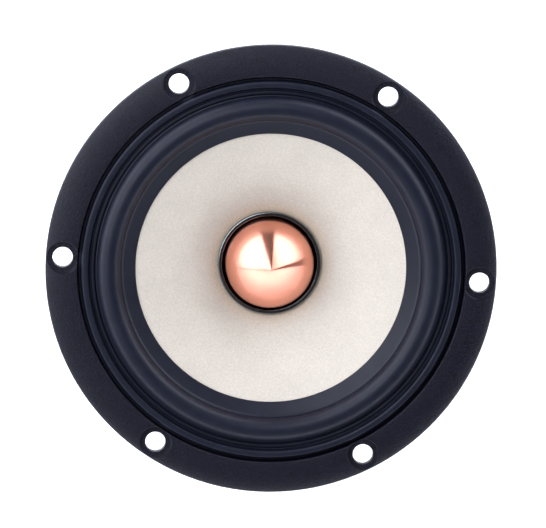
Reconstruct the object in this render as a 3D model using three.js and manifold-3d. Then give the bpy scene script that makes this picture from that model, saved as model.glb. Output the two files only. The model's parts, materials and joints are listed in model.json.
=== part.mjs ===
// A 120 mm midwoofer driver with a metal phase plug, in millimetres.
// +Z is the speaker's axis and points out of its front. The origin is the centre of the back plate's rear face,
// on which the driver lies. Six flange holes sit at 0, 60, 120 ... degrees from +X, and the six basket arms
// between them. The terminals are on the arm at -Y.
import * as THREE from "three";
import { mergeVertices } from "three/addons/utils/BufferGeometryUtils.js";
import Module from "manifold-3d";

const wasm = await Module();
wasm.setup();

// ---- Driving dimensions ----------------------------------------------------------------------------------------

const ROUND_STEPS = 36; // steps round the speaker's axis
const SMALL_STEPS = 16; // steps round a screw or a hole
const FIT_GAP = 0.05; // clearance between two glued or seated pieces

const flange = {
  radius: 60,
  innerRadius: 51.6,
  frontZ: 60,
  rearZ: 56,
  crownWidth: 6.5, // the front falls away over this width towards the rim
  crownDrop: 1.8,
  holes: 6,
  holePitchRadius: 55.5,
  holeRadius: 2.7,
  seatRadius: 4.2, // flat seat for a screw head
  seatDepth: 1.3,
};
const rim = { innerRadius: 46.4, outerRadius: 50.5, bottomZ: 52, ledgeZ: 57 };
const tub = {
  footInnerRadius: 26,
  footRadius: 38.5,
  footTopZ: 28,
  outerRadius: 32,
  innerRadius: 30,
  topZ: 33.4,
  ledgeInnerRadius: 27.7,
  ledgeOuterRadius: 30.8,
  ledgeBottomZ: 30,
  ledgeZ: 32,
};
const arms = { count: 6, firstAngle: 30, width: 9 };
const yoke = { plateRadius: 36, plateTopZ: 5, poleRadius: 12.3, topZ: 25, boreRadius: 2.75, edge: 1.2 };
const magnet = { innerRadius: 19, outerRadius: 40, topZ: 20, edge: 0.8 };
const topPlate = { boreRadius: 13.9, radius: 38.5, topZ: 25, edge: 0.6 };
const former = { innerRadius: 12.75, outerRadius: 13.05, bottomZ: 16, topZ: 45.5 };
const winding = { outerRadius: 13.5, bottomZ: 17, topZ: 28 };
const plug = {
  radius: 11.8,
  tipZ: 59,
  tipAngle: 61, // between the surface's normal and the horizontal, in degrees, as for the two ends below
  nose: { radius: 46.7, endAngle: 48 },
  shoulder: { radius: 11.6, endAngle: 22 },
  threadDepth: 12,
};
const cone = { rimRadius: 39.6, rimZ: 56.7, slope: 24, thickness: 0.6, neckBottomZ: 42.3 };
const roll = { centreRadius: 43.15, radius: 3.25, baseZ: 57.9, thickness: 0.8 };
const lip = {
  outerRadius: 51.2,
  outerThickness: 1, // where it lies on the basket's ledge
  beadOuter: 50.7,
  beadInner: 48.3,
  beadTopZ: 59.6,
  innerRadius: 36,
  innerThickness: 0.6, // where it lies over the cone's rim
};
const spider = { waves: 5, waveInner: 14.6, waveOuter: 27.8, height: 1.1, thickness: 0.4, midZ: 32.7 };
const plateScrews = { count: 3, pitchRadius: 35.2, firstAngle: 60, shankRadius: 1.9, headRadius: 2.9, headHeight: 2.4 };
const boss = { innerY: -40, height: 10 }; // the pad on the arm at -Y that carries the terminal board
const board = { width: 24, height: 11, thickness: 1.6, innerY: -46.6, centreZ: 35.5 };
const boardScrew = { shankRadius: 1.3, headRadius: 2.6, headHeight: 1.9, reach: 6, holeRadius: 1.8, tapRadius: 1.5 };
const lug = { offsetX: 7.5, thickness: 0.8, topZ: 43.6, bladeBottomZ: 22.5, tabWidth: 4.8, wide: 4.8, narrow: 2.8 };
const rivet = { shankRadius: 1.1, holeRadius: 1.3, headRadius: 1.9, frontHeight: 0.8, backHeight: 0.6, above: 1.5 };
const lead = { radius: 0.6, sides: 8, steps: 26 };
const pad = { thickness: 0.75, width: 2.8, height: 2.6, gap: 0.1, centreZ: 38, angle: 13.2 }; // solder on the former

const colours = {
  castBlack: 0x16161f,
  rubber: 0x23252f,
  cream: 0xd8cfc4,
  copper: 0xd9835f,
  glossBlack: 0x15181d,
  blackMetal: 0x25262a,
  wire: 0xb8672f,
  cloth: 0xb08b4a,
  steel: 0xa9abb0,
  ferrite: 0x2b2b2e,
  zinc: 0xc9c9cb,
  boardBlack: 0x1d1b1a,
  brass: 0xd3a94f,
  tinsel: 0xb97a4b,
};

// ---- Helpers ---------------------------------------------------------------------------------------------------

const radians = THREE.MathUtils.degToRad;
const speaker = new THREE.Group();

function addPiece(name, geometry, colour, roughness, metalness) {
  const mesh = new THREE.Mesh(geometry, new THREE.MeshStandardMaterial({ color: colour, roughness, metalness }));
  mesh.name = name;
  speaker.add(mesh);
}

// A closed outline of [radius, z] pairs, counter-clockwise with the radius to the right, turned round +Z.
function turned(outline, steps = ROUND_STEPS) {
  const closed = outline[0][0] === 0 ? outline : [...outline, outline[0]];
  const points = closed.map(([r, z]) => new THREE.Vector2(r, z));
  return new THREE.LatheGeometry(points, steps).rotateX(Math.PI / 2);
}

// An outline of [radius, z] pairs made solid across a width, standing in the plane at an angle from +X.
function slab(outline, width, angle) {
  const shape = new THREE.Shape(outline.map(([r, z]) => new THREE.Vector2(r, z)));
  const geometry = new THREE.ExtrudeGeometry(shape, { depth: width, bevelEnabled: false });
  return geometry.rotateX(Math.PI / 2).translate(0, width / 2, 0).rotateZ(radians(angle));
}

function rod(radius, bottomZ, topZ, steps = SMALL_STEPS) {
  const height = topZ - bottomZ;
  const geometry = new THREE.CylinderGeometry(radius, radius, height, steps);
  return geometry.rotateX(Math.PI / 2).translate(0, 0, bottomZ + height / 2);
}

function pegAlongY(radius, y0, y1, x, z) {
  return rod(radius, y0, y1).rotateX(-Math.PI / 2).translate(x, 0, z);
}

function block(x0, x1, y0, y1, z0, z1) {
  const geometry = new THREE.BoxGeometry(x1 - x0, y1 - y0, z1 - z0);
  return geometry.translate((x0 + x1) / 2, (y0 + y1) / 2, (z0 + z1) / 2);
}

// Moves a geometry out to a pitch radius at an angle from +X.
function atPitch(geometry, pitchRadius, angle) {
  return geometry.translate(pitchRadius, 0, 0).rotateZ(radians(angle));
}

function anglesOf(count, firstAngle = 0) {
  return Array.from({ length: count }, (_, i) => firstAngle + (i * 360) / count);
}

function toSolid(geometry) {
  const bare = geometry.clone();
  bare.deleteAttribute("normal");
  bare.deleteAttribute("uv");
  const merged = mergeVertices(bare, 1e-4);
  const mesh = new wasm.Mesh({
    numProp: 3,
    vertProperties: new Float32Array(merged.attributes.position.array),
    triVerts: new Uint32Array(merged.index.array),
  });
  return new wasm.Manifold(mesh);
}

function toGeometry(solid) {
  const mesh = solid.getMesh();
  const geometry = new THREE.BufferGeometry();
  geometry.setAttribute("position", new THREE.BufferAttribute(mesh.vertProperties, 3));
  geometry.setIndex(new THREE.BufferAttribute(mesh.triVerts, 1));
  return geometry;
}

// Joins some geometries and cuts others out of the result.
function combined(joined, cut = []) {
  let solid = joined.map(toSolid).reduce((sum, piece) => sum.add(piece));
  for (const geometry of cut) solid = solid.subtract(toSolid(geometry));
  return toGeometry(solid);
}

// ---- Basket ----------------------------------------------------------------------------------------------------

// The flange's front is flat inside and falls away towards the rim along a quarter of an ellipse.
function flangeRing() {
  const { radius, innerRadius, frontZ, rearZ, crownWidth, crownDrop } = flange;
  const crown = [0, 18, 36, 54, 72, 90].map((degrees) => [
    radius - crownWidth * (1 - Math.cos(radians(degrees))),
    frontZ - crownDrop * (1 - Math.sin(radians(degrees))),
  ]);
  return turned([
    [rim.innerRadius, rim.bottomZ],
    [rim.outerRadius, rim.bottomZ],
    [rim.outerRadius, rearZ],
    [radius, rearZ],
    ...crown,
    [innerRadius, frontZ],
    [innerRadius, rim.ledgeZ],
    [rim.innerRadius, rim.ledgeZ],
  ]);
}

// The foot that sits on the top plate, with the wall and ledge that carry the spider.
function spiderTub() {
  return turned([
    [tub.footInnerRadius, topPlate.topZ],
    [tub.footRadius, topPlate.topZ],
    [tub.footRadius, tub.footTopZ],
    [tub.outerRadius, tub.footTopZ],
    [tub.outerRadius, tub.topZ],
    [tub.ledgeOuterRadius, tub.topZ],
    [tub.ledgeOuterRadius, tub.ledgeZ],
    [tub.ledgeInnerRadius, tub.ledgeZ],
    [tub.ledgeInnerRadius, tub.ledgeBottomZ],
    [tub.innerRadius, tub.ledgeBottomZ],
    [tub.innerRadius, tub.footTopZ],
    [tub.footInnerRadius, tub.footTopZ],
  ]);
}

const armOutline = [
  [30.6, 26],
  [36.4, 26],
  [38, 29.5],
  [49.4, 46.5],
  [50, 49.5],
  [50, 55],
  [47, 55],
  [46.6, 50],
  [33.4, 33.4],
  [30.6, 33.4],
];

// A flat boss on the arm at -Y, to which the terminal board is screwed.
const boardBoss = block(
  -arms.width / 2,
  arms.width / 2,
  board.innerY,
  boss.innerY,
  board.centreZ - boss.height / 2,
  board.centreZ + boss.height / 2,
);

function basket() {
  const armAngles = anglesOf(arms.count, arms.firstAngle);
  const holeAngles = anglesOf(flange.holes);
  const { holePitchRadius, holeRadius, seatRadius, seatDepth, frontZ, rearZ } = flange;
  const holes = holeAngles.map((angle) => atPitch(rod(holeRadius, rearZ - 1, frontZ + 1), holePitchRadius, angle));
  const seats = holeAngles.map((angle) =>
    atPitch(rod(seatRadius, frontZ - seatDepth, frontZ + 1), holePitchRadius, angle),
  );
  const screwHoles = anglesOf(plateScrews.count, plateScrews.firstAngle).map((angle) =>
    atPitch(rod(plateScrews.shankRadius + 0.3, topPlate.topZ - 1, tub.footTopZ + 1), plateScrews.pitchRadius, angle),
  );
  const tapEndY = board.innerY + boardScrew.reach + 1;
  const boardScrewHole = pegAlongY(boardScrew.tapRadius, board.innerY - 1, tapEndY, 0, board.centreZ);
  return combined(
    [flangeRing(), spiderTub(), ...armAngles.map((angle) => slab(armOutline, arms.width, angle)), boardBoss],
    [...holes, ...seats, ...screwHoles, boardScrewHole],
  );
}
addPiece("basket", basket(), colours.castBlack, 0.6, 0.3);

// ---- Magnet system ---------------------------------------------------------------------------------------------

const plugScrew = {
  headRadius: 4.2,
  headBottomZ: 0.6,
  headTopZ: 4.4,
  shankRadius: 2.4,
  socketRadius: 2,
  socketDepth: 2,
  recessRadius: 4.7, // the recess in the back plate that hides the head
  recessZ: 4.5,
};

addPiece(
  "yoke",
  turned([
    [plugScrew.recessRadius, 0],
    [yoke.plateRadius - yoke.edge, 0],
    [yoke.plateRadius, yoke.edge],
    [yoke.plateRadius, yoke.plateTopZ],
    [yoke.poleRadius, yoke.plateTopZ],
    [yoke.poleRadius, yoke.topZ],
    [yoke.boreRadius, yoke.topZ],
    [yoke.boreRadius, plugScrew.recessZ],
    [plugScrew.recessRadius, plugScrew.recessZ],
  ]),
  colours.steel,
  0.4,
  0.9,
);

addPiece(
  "magnet",
  turned([
    [magnet.innerRadius, yoke.plateTopZ],
    [magnet.outerRadius - magnet.edge, yoke.plateTopZ],
    [magnet.outerRadius, yoke.plateTopZ + magnet.edge],
    [magnet.outerRadius, magnet.topZ - magnet.edge],
    [magnet.outerRadius - magnet.edge, magnet.topZ],
    [magnet.innerRadius, magnet.topZ],
  ]),
  colours.ferrite,
  0.75,
  0.1,
);

const platePunchings = anglesOf(plateScrews.count, plateScrews.firstAngle).map((angle) =>
  atPitch(rod(plateScrews.shankRadius + 0.15, magnet.topZ - 1, topPlate.topZ + 1), plateScrews.pitchRadius, angle),
);
addPiece(
  "top_plate",
  combined(
    [
      turned([
        [topPlate.boreRadius, magnet.topZ],
        [topPlate.radius, magnet.topZ],
        [topPlate.radius, topPlate.topZ - topPlate.edge],
        [topPlate.radius - topPlate.edge, topPlate.topZ],
        [topPlate.boreRadius, topPlate.topZ],
      ]),
    ],
    platePunchings,
  ),
  colours.steel,
  0.4,
  0.9,
);

// The plug's point: a nose arc, a tighter shoulder arc and an edge arc that runs out straight down its side.
function plugPoint() {
  const degrees = Math.PI / 180;
  const point = [[0, plug.tipZ]];
  const addArc = (radius, start, end, steps) => {
    const [startR, startZ] = point.at(-1);
    for (let i = 1; i <= steps; i++) {
      const angle = (start + ((end - start) * i) / steps) * degrees;
      const r = startR + radius * (Math.cos(angle) - Math.cos(start * degrees));
      point.push([r, startZ - radius * (Math.sin(start * degrees) - Math.sin(angle))]);
    }
  };
  const { nose, shoulder } = plug;
  addArc(nose.radius, plug.tipAngle, nose.endAngle, 5);
  addArc(shoulder.radius, nose.endAngle, shoulder.endAngle, 4);
  const edgeRadius = (plug.radius - point.at(-1)[0]) / (1 - Math.cos(shoulder.endAngle * degrees));
  addArc(edgeRadius, shoulder.endAngle, 0, 3);
  return point;
}

function phasePlug() {
  const baseEdge = 0.4;
  const threadRadius = 2.6;
  const threadTopZ = yoke.topZ + plug.threadDepth;
  return turned([
    [0, threadTopZ],
    [threadRadius, threadTopZ - 1],
    [threadRadius, yoke.topZ],
    [plug.radius - baseEdge, yoke.topZ],
    [plug.radius, yoke.topZ + baseEdge],
    ...plugPoint().reverse(),
  ]);
}
addPiece("phase_plug", phasePlug(), colours.copper, 0.18, 1);

// The screw that draws the plug down on to the pole, with a round-bottomed socket in its head.
function phasePlugScrew() {
  const { headRadius, headBottomZ, headTopZ, shankRadius, socketRadius, socketDepth } = plugScrew;
  const edge = 0.4;
  const endZ = yoke.topZ + plug.threadDepth - 2;
  return turned(
    [
      [0, headBottomZ + socketDepth],
      [socketRadius, headBottomZ + socketDepth],
      [socketRadius, headBottomZ],
      [headRadius - edge, headBottomZ],
      [headRadius, headBottomZ + edge],
      [headRadius, headTopZ],
      [shankRadius, headTopZ],
      [shankRadius, endZ],
      [0, endZ],
    ],
    SMALL_STEPS,
  );
}
addPiece("phase_plug_screw", phasePlugScrew(), colours.zinc, 0.35, 0.9);

anglesOf(plateScrews.count, plateScrews.firstAngle).forEach((angle, i) => {
  const { shankRadius, headRadius, headHeight, pitchRadius } = plateScrews;
  const endZ = magnet.topZ + 0.6;
  const headTopZ = tub.footTopZ + headHeight;
  const screw = turned(
    [
      [0, endZ],
      [shankRadius, endZ],
      [shankRadius, tub.footTopZ],
      [headRadius, tub.footTopZ],
      [headRadius, headTopZ - 0.7],
      [headRadius - 0.8, headTopZ],
      [0, headTopZ],
    ],
    SMALL_STEPS,
  );
  addPiece(`plate_screw_${i + 1}`, atPitch(screw, pitchRadius, angle), colours.zinc, 0.35, 0.9);
});

// ---- Moving assembly -------------------------------------------------------------------------------------------

const coneRise = Math.tan(radians(cone.slope));
const coneFrontZ = (r) => cone.rimZ - (cone.rimRadius - r) * coneRise;
const coneBackZ = (r) => coneFrontZ(r) - cone.thickness / Math.cos(radians(cone.slope));
const neckRadius = former.outerRadius + FIT_GAP;
const neckWall = neckRadius + cone.thickness;

addPiece(
  "cone",
  turned([
    [neckRadius, cone.neckBottomZ],
    [neckWall, cone.neckBottomZ],
    [neckWall, coneBackZ(neckWall)],
    [cone.rimRadius, coneBackZ(cone.rimRadius)],
    [cone.rimRadius, cone.rimZ],
    [neckRadius, coneFrontZ(neckRadius)],
  ]),
  colours.cream,
  0.55,
  0.05,
);

// The collar that stands on the cone's neck and covers the end of the former.
const collar = { footRadius: 14.1, shoulderRadius: 13.9, topZ: 46.4, edge: 0.3 };
const collarSeatZ = former.topZ + 2 * FIT_GAP;
addPiece(
  "neck_ring",
  turned([
    [neckRadius, coneFrontZ(neckRadius) + FIT_GAP],
    [collar.footRadius, coneFrontZ(collar.footRadius) + FIT_GAP],
    [collar.shoulderRadius, collar.topZ - collar.edge],
    [collar.shoulderRadius - collar.edge, collar.topZ],
    [former.innerRadius + collar.edge, collar.topZ],
    [former.innerRadius, collar.topZ - collar.edge],
    [former.innerRadius, collarSeatZ],
    [neckRadius, collarSeatZ],
  ]),
  colours.glossBlack,
  0.2,
  0,
);

addPiece(
  "voice_coil_former",
  turned([
    [former.innerRadius, former.bottomZ],
    [former.outerRadius, former.bottomZ],
    [former.outerRadius, former.topZ],
    [former.innerRadius, former.topZ],
  ]),
  colours.blackMetal,
  0.4,
  0,
);

addPiece(
  "voice_coil_winding",
  turned([
    [former.outerRadius + FIT_GAP / 2, winding.bottomZ],
    [winding.outerRadius, winding.bottomZ],
    [winding.outerRadius, winding.topZ],
    [former.outerRadius + FIT_GAP / 2, winding.topZ],
  ]),
  colours.wire,
  0.35,
  0.8,
);

// The surround: a flat outer lip with a raised bead, a half roll, and an inner lip glued over the cone's rim.
function surround() {
  const { centreRadius, radius, baseZ, thickness } = roll;
  const lipTopZ = rim.ledgeZ + lip.outerThickness;
  const arc = (r, degrees) =>
    degrees.map((d) => [centreRadius + r * Math.cos(radians(d)), baseZ + r * Math.sin(radians(d))]);
  const lipOnCone = (r, height = 0) => [r, coneFrontZ(r) + FIT_GAP + height];
  return turned([
    [lip.outerRadius, rim.ledgeZ],
    [lip.outerRadius, lipTopZ],
    [lip.beadOuter, lipTopZ],
    [lip.beadOuter - 0.2, lip.beadTopZ - 0.6],
    [lip.beadOuter - 0.8, lip.beadTopZ],
    [lip.beadInner + 0.6, lip.beadTopZ],
    [lip.beadInner, lipTopZ],
    ...arc(radius, [2, 24, 46, 68, 90, 112, 134, 156, 168]),
    lipOnCone(cone.rimRadius, lip.innerThickness),
    lipOnCone(lip.innerRadius + 0.2, lip.innerThickness),
    lipOnCone(lip.innerRadius),
    lipOnCone(cone.rimRadius),
    ...arc(radius - thickness, [174, 138, 90, 42, 0]),
    [rim.innerRadius, rim.ledgeZ],
  ]);
}
addPiece("surround", surround(), colours.rubber, 0.5, 0);

// The spider: a pressed cloth disc of concentric waves between the former and the tub's ledge.
function spiderDisc() {
  const halfWaves = spider.waves * 2;
  const pitch = (spider.waveOuter - spider.waveInner) / halfWaves;
  const crests = Array.from({ length: halfWaves - 1 }, (_, i) => [
    spider.waveInner + pitch * (i + 1),
    spider.midZ + (i % 2 === 0 ? 1 : -1) * spider.height,
  ]);
  const flat = tub.ledgeZ + FIT_GAP;
  const outer = tub.ledgeOuterRadius - 0.3;
  const under = [
    [neckRadius, spider.midZ],
    [spider.waveInner, spider.midZ],
    ...crests,
    [spider.waveOuter, flat],
    [outer, flat],
  ];
  const over = under.map(([r, z]) => [r, z + spider.thickness]).reverse();
  return turned([...under, ...over]);
}
addPiece("spider", spiderDisc(), colours.cloth, 0.9, 0);

// ---- Terminals and leads ---------------------------------------------------------------------------------------

const boardOuterY = board.innerY - board.thickness;
const boardTopZ = board.centreZ + board.height / 2;
const boardBottomZ = board.centreZ - board.height / 2;
const rivetZ = board.centreZ + rivet.above;
const sides = [
  { name: "positive", x: lug.offsetX, bladeWidth: lug.wide },
  { name: "negative", x: -lug.offsetX, bladeWidth: lug.narrow },
];

addPiece(
  "terminal_board",
  combined(
    [block(-board.width / 2, board.width / 2, boardOuterY, board.innerY, boardBottomZ, boardTopZ)],
    [
      pegAlongY(boardScrew.holeRadius, boardOuterY - 1, board.innerY + 1, 0, board.centreZ),
      ...sides.map(({ x }) => pegAlongY(rivet.holeRadius, boardOuterY - 1, board.innerY + 1, x, rivetZ)),
    ],
  ),
  colours.boardBlack,
  0.7,
  0,
);

addPiece(
  "terminal_board_screw",
  combined([
    pegAlongY(boardScrew.shankRadius, boardOuterY - 0.2, board.innerY + boardScrew.reach, 0, board.centreZ),
    pegAlongY(boardScrew.headRadius, boardOuterY - boardScrew.headHeight, boardOuterY, 0, board.centreZ),
  ]),
  colours.zinc,
  0.35,
  0.9,
);

for (const { name, x, bladeWidth } of sides) {
  const lugInnerY = boardOuterY - lug.thickness;
  const halfTab = lug.tabWidth / 2;
  const tab = block(x - halfTab, x + halfTab, lugInnerY, boardOuterY, boardBottomZ + 1, lug.topZ);
  const blade = block(
    x - bladeWidth / 2,
    x + bladeWidth / 2,
    lugInnerY,
    boardOuterY,
    lug.bladeBottomZ,
    boardBottomZ + 2,
  );
  addPiece(
    `terminal_${name}`,
    combined([tab, blade], [pegAlongY(rivet.holeRadius, lugInnerY - 1, boardOuterY + 1, x, rivetZ)]),
    colours.brass,
    0.3,
    0.9,
  );
  addPiece(
    `terminal_rivet_${name}`,
    combined([
      pegAlongY(rivet.shankRadius, lugInnerY - 0.2, board.innerY + 0.2, x, rivetZ),
      pegAlongY(rivet.headRadius, lugInnerY - rivet.frontHeight, lugInnerY, x, rivetZ),
      pegAlongY(rivet.headRadius, board.innerY, board.innerY + rivet.backHeight, x, rivetZ),
    ]),
    colours.brass,
    0.3,
    0.9,
  );

  // The tinsel lead leaves the top of the lug, passes beside the arm and ends on the former under the cone's neck.
  const side = Math.sign(x);
  const route = [
    [7.5, -47.3, 42.4],
    [7.5, -45.6, 42.5],
    [7.5, -43.2, 41.2],
    [7.4, -39.5, 38.6],
    [7.2, -35.5, 36.6],
    [6.8, -31.2, 35.6],
    [6.2, -26.8, 35.7],
    [5.3, -22.4, 36.6],
    [4.3, -18.4, 37.6],
    [3.5, -14.9, 38.0],
  ].map(([px, py, pz]) => new THREE.Vector3(side * px, py, pz));
  const section = new THREE.Shape(
    anglesOf(lead.sides)
      .map(radians)
      .map((angle) => new THREE.Vector2(lead.radius * Math.cos(angle), lead.radius * Math.sin(angle))),
  );
  addPiece(
    `tinsel_lead_${name}`,
    new THREE.ExtrudeGeometry(section, {
      extrudePath: new THREE.CatmullRomCurve3(route),
      steps: lead.steps,
      bevelEnabled: false,
    }),
    colours.tinsel,
    0.5,
    0.6,
  );

  // The solder pad on the former where the lead meets the coil's own wire.
  const padAngle = -90 + side * pad.angle;
  addPiece(
    `former_pad_${name}`,
    block(0, pad.thickness, -pad.width / 2, pad.width / 2, -pad.height / 2, pad.height / 2)
      .translate(neckRadius + pad.gap, 0, pad.centreZ)
      .rotateZ(radians(padAngle)),
    colours.zinc,
    0.4,
    0.8,
  );
}

export default speaker;
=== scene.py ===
import json
import math

import bmesh
import bpy
import numpy as np
from mathutils import Matrix, Vector


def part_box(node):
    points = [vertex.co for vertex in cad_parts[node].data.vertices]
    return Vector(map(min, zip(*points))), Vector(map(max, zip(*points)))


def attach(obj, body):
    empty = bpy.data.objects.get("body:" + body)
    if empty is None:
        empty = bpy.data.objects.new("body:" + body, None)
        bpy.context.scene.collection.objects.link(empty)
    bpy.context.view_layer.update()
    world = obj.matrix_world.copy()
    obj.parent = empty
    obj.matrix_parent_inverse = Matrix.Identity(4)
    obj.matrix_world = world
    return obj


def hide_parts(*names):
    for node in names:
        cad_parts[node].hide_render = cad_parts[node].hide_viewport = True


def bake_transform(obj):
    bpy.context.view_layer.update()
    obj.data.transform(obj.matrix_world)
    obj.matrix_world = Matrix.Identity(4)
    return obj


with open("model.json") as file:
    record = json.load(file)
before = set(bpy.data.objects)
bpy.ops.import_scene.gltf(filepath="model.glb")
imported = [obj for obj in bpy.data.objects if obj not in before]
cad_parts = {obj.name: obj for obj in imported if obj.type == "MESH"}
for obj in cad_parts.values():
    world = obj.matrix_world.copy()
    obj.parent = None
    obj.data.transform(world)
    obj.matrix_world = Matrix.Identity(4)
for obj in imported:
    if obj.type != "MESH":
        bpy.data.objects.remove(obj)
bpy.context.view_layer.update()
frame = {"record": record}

MM = 0.001
ROUND_STEPS = 240  # steps round the speaker's axis
SMALL_STEPS = 48  # steps round a screw or a hole

BODY_OF = {node: body for body, nodes in frame["record"]["behaviour"]["bodies"].items() for node in nodes}


# ---- Sizes in millimetres, from the frame ------------------------------------------------------------------


def low(node, axis):
    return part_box(node)[0]["xyz".index(axis)] / MM


def high(node, axis):
    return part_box(node)[1]["xyz".index(axis)] / MM


FLANGE_RADIUS = high("basket", "x")
FLANGE_FRONT = high("basket", "z")
FLANGE_REAR = FLANGE_FRONT - 4
FLANGE_INNER = FLANGE_RADIUS - 8.4
CROWN_WIDTH = 6.5
CROWN_DROP = 1.8
HOLE_COUNT = 6
HOLE_PITCH_RADIUS = FLANGE_RADIUS - 4.5
HOLE_RADIUS = 2.7
SEAT_RADIUS = 4.2
SEAT_DEPTH = 1.3
RIM_INNER = FLANGE_RADIUS - 13.6
RIM_OUTER = FLANGE_RADIUS - 9.5
RIM_BOTTOM = FLANGE_FRONT - 8
LEDGE = FLANGE_FRONT - 3

FOOT_BOTTOM = low("basket", "z")
FOOT_TOP = FOOT_BOTTOM + 3
FOOT_RADIUS = high("top_plate", "x")
FOOT_INNER = 26
TUB_OUTER = 32
TUB_INNER = 30
TUB_TOP = FOOT_BOTTOM + 8.4
SPIDER_LEDGE = FOOT_BOTTOM + 7
SPIDER_RADIUS = high("spider", "x")
ARM_COUNT = 6
ARM_WIDTH = 9

NECK_RADIUS = high("voice_coil_former", "x") + 0.05
FORMER_INNER = NECK_RADIUS - 0.35
CONE_RADIUS = high("cone", "x")
CONE_TOP = high("cone", "z")
CONE_BOTTOM = low("cone", "z")
CONE_SLOPE = math.tan(math.radians(24))
CONE_THICKNESS = 0.6

PLUG_RADIUS = high("phase_plug", "x")
PLUG_TIP = high("phase_plug", "z")
POLE_TOP = high("yoke", "z")
BACK_TOP = low("magnet", "z")
PLATE_BOTTOM = high("magnet", "z")

LUG_X = (low("terminal_positive", "x") + high("terminal_positive", "x")) / 2
BOARD_FACE = low("terminal_board", "y")
BOARD_BACK = high("terminal_board", "y")


# ---- Mesh helpers ------------------------------------------------------------------------------------------


def new_piece(name, vertices, faces):
    """A mesh object from vertices in millimetres."""
    mesh = bpy.data.meshes.new(name)
    mesh.from_pydata([Vector(v) * MM for v in vertices], [], faces)
    mesh.update()
    piece = bpy.data.objects.new(name, mesh)
    bpy.context.scene.collection.objects.link(piece)
    return piece


def smooth(piece, angle=32):
    piece.data.shade_smooth()
    piece.data.set_sharp_from_angle(angle=math.radians(angle))
    return piece


def rounded(corners, steps=6):
    """A closed outline. A corner (radius, z, fillet) becomes an arc, and (radius, z) stays a point."""
    outline = []
    for i, corner in enumerate(corners):
        here = Vector(corner[:2])
        if len(corner) == 2:
            outline.append(tuple(here))
            continue
        before = (Vector(corners[i - 1][:2]) - here).normalized()
        after = (Vector(corners[(i + 1) % len(corners)][:2]) - here).normalized()
        half = before.angle(after) / 2
        fillet = corner[2]
        centre = here + (before + after).normalized() * fillet / math.sin(half)
        start = here + before * fillet / math.tan(half) - centre
        end = here + after * fillet / math.tan(half) - centre
        first = math.atan2(start.y, start.x)
        sweep = math.remainder(math.atan2(end.y, end.x) - first, 2 * math.pi)
        for k in range(steps + 1):
            angle = first + sweep * k / steps
            outline.append((centre.x + fillet * math.cos(angle), centre.y + fillet * math.sin(angle)))
    return outline


def arc(centre_r, centre_z, radius, first, last, steps):
    """Points on an arc, with its angles in degrees from the direction in which the radius grows."""
    angles = [math.radians(first + (last - first) * k / steps) for k in range(steps + 1)]
    return [(centre_r + radius * math.cos(a), centre_z + radius * math.sin(a)) for a in angles]


def turned(name, outline, steps=ROUND_STEPS):
    """A closed outline of (radius, z) points turned round +Z: counter-clockwise, radius to the right."""
    count = len(outline)
    vertices = []
    for s in range(steps):
        angle = 2 * math.pi * s / steps
        vertices += [(r * math.cos(angle), r * math.sin(angle), z) for r, z in outline]
    faces = []
    for s in range(steps):
        t = (s + 1) % steps
        for i in range(count):
            j = (i + 1) % count
            if outline[i][0] > 0 or outline[j][0] > 0:
                faces.append((s * count + i, t * count + i, t * count + j, s * count + j))
    piece = new_piece(name, vertices, faces)
    tidy = bmesh.new()
    tidy.from_mesh(piece.data)
    bmesh.ops.remove_doubles(tidy, verts=tidy.verts, dist=1e-8)
    tidy.to_mesh(piece.data)
    tidy.free()
    return smooth(piece)


def lofted(name, sections):
    """Rings of points, all with the same count, skinned in order and capped at both ends."""
    count = len(sections[0])
    faces = [tuple(reversed(range(count)))]
    for s in range(len(sections) - 1):
        for i in range(count):
            j = (i + 1) % count
            faces.append((s * count + i, s * count + j, (s + 1) * count + j, (s + 1) * count + i))
    last = (len(sections) - 1) * count
    faces.append(tuple(last + i for i in range(count)))
    piece = new_piece(name, [point for section in sections for point in section], faces)
    tidy = bmesh.new()
    tidy.from_mesh(piece.data)
    bmesh.ops.recalc_face_normals(tidy, faces=tidy.faces)
    tidy.to_mesh(piece.data)
    tidy.free()
    return smooth(piece)


def prism(name, outline, bottom, top):
    """An (x, y) outline made solid from bottom to top."""
    return lofted(name, [[(x, y, z) for x, y in outline] for z in (bottom, top)])


def circle(radius, steps=SMALL_STEPS, first=0.0):
    angles = [math.radians(first) + 2 * math.pi * s / steps for s in range(steps)]
    return [(radius * math.cos(a), radius * math.sin(a)) for a in angles]


def placed(piece, x=0.0, y=0.0, z=0.0, turn=0.0, facing=None):
    """Moves a mesh's own vertices: faced another way, then shifted, then turned round the speaker's axis."""
    matrix = Matrix.Rotation(math.radians(turn), 4, "Z") @ Matrix.Translation(Vector((x, y, z)) * MM)
    if facing == "front_board":
        matrix = matrix @ Matrix.Rotation(math.radians(90), 4, "X")
    piece.data.transform(matrix)
    return piece


def applied(piece):
    """Bakes a piece's modifiers into its mesh."""
    bpy.context.view_layer.update()
    evaluated = piece.evaluated_get(bpy.context.evaluated_depsgraph_get())
    mesh = bpy.data.meshes.new_from_object(evaluated)
    piece.modifiers.clear()
    piece.data = mesh
    return piece


def boolean(piece, operation, tools):
    for tool in tools:
        modifier = piece.modifiers.new("boolean", "BOOLEAN")
        modifier.operation = operation
        modifier.solver = "EXACT"
        modifier.object = tool
        applied(piece)
        bpy.data.objects.remove(tool)
    return smooth(piece)


def bevelled(piece, width, segments=3, angle=35):
    modifier = piece.modifiers.new("bevel", "BEVEL")
    modifier.width = width * MM
    modifier.segments = segments
    modifier.limit_method = "ANGLE"
    modifier.angle_limit = math.radians(angle)
    modifier.harden_normals = False
    return smooth(applied(piece))


def joined(name, parts):
    """One mesh object made of several, each keeping its own material."""
    keep = parts[0]
    with bpy.context.temp_override(active_object=keep, object=keep, selected_editable_objects=parts):
        bpy.ops.object.join()
    keep.name = name
    return keep


def finished(piece, finish):
    piece.data.materials.clear()
    piece.data.materials.append(finish)
    return piece


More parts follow.
